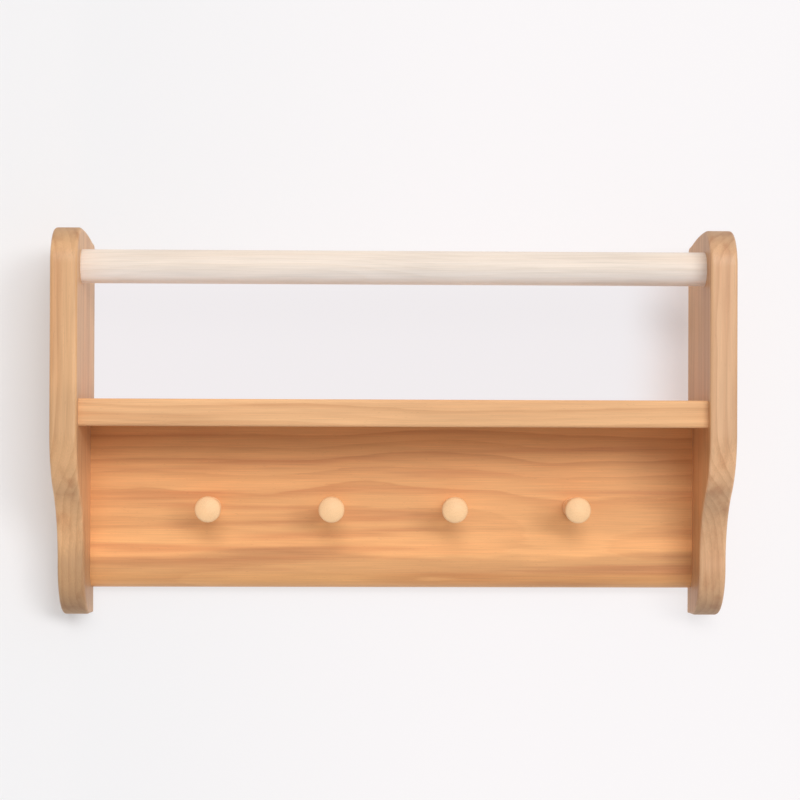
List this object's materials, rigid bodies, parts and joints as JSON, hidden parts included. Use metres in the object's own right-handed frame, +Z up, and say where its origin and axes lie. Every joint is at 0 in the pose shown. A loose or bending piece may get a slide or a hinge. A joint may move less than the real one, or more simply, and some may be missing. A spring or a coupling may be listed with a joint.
{
  "type": "wall shelf with pegs",
  "caption": "Wooden wall shelf: scooped side panels, a shelf board, a backboard with turned pegs below it and a round rail above it.",
  "frame": {"origin": "on the wall plane, at the middle of the backboard's back face, level with the row of pegs", "axes": "+X to the right along the shelf, +Y into the wall, +Z up, so the front faces -Y"},
  "size_m": [0.5, 0.1, 0.29],
  "materials": {
    "hardwood": "honey-coloured boards with a satin oil finish",
    "pale_wood": "pale turned wood, satin",
    "dowel_wood": "plain fluted dowel, unfinished",
    "zinc_steel": "zinc plated sheet",
    "screw_steel": "zinc plated screws"
  },
  "bodies": {
    "root": {"left_side_panel": "hardwood", "right_side_panel": "hardwood", "shelf_board": "hardwood", "peg_backboard": "hardwood", "front_rail": "pale_wood", "peg_1": "pale_wood", "peg_2": "pale_wood", "peg_3": "pale_wood", "peg_4": "pale_wood", "left_dowel_1": "dowel_wood", "left_dowel_2": "dowel_wood", "left_dowel_3": "dowel_wood", "left_dowel_4": "dowel_wood", "left_upright_dowel": "dowel_wood", "right_dowel_1": "dowel_wood", "right_dowel_2": "dowel_wood", "right_dowel_3": "dowel_wood", "right_dowel_4": "dowel_wood", "right_upright_dowel": "dowel_wood", "left_hanger_plate": "zinc_steel", "right_hanger_plate": "zinc_steel", "left_hanger_screw_1": "screw_steel", "left_hanger_screw_2": "screw_steel", "right_hanger_screw_1": "screw_steel", "right_hanger_screw_2": "screw_steel"}
  },
  "joints": []
}
